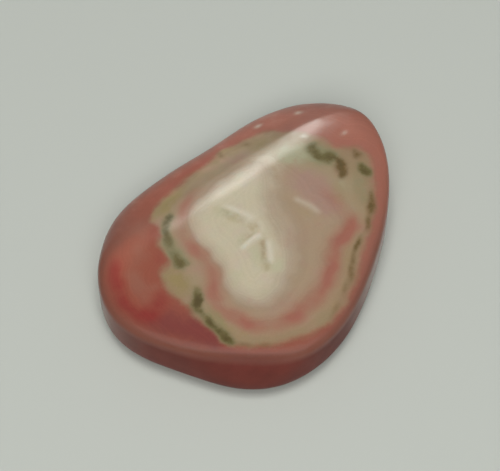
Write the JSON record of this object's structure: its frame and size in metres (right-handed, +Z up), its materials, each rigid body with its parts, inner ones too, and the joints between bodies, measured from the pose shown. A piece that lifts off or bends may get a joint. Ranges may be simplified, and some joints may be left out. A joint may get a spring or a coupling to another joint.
{
  "type": "rhodochrosite slice",
  "caption": "Polished, tumbled slice of banded rhodochrosite: a display stone with a flat underside to rest on, a worn back bevel and shallow fissures in its pale core.",
  "frame": {"origin": "on the flat rest face of the underside, under the middle of the stone's box", "axes": "+X along the stone's longest side towards its rounder end, +Y towards the bevelled long edge, +Z up through its thickness"},
  "size_m": [0.0346, 0.0266, 0.0068],
  "materials": {
    "banded_stone": "polished"
  },
  "bodies": {
    "root": {"stone": "banded_stone"}
  },
  "joints": []
}
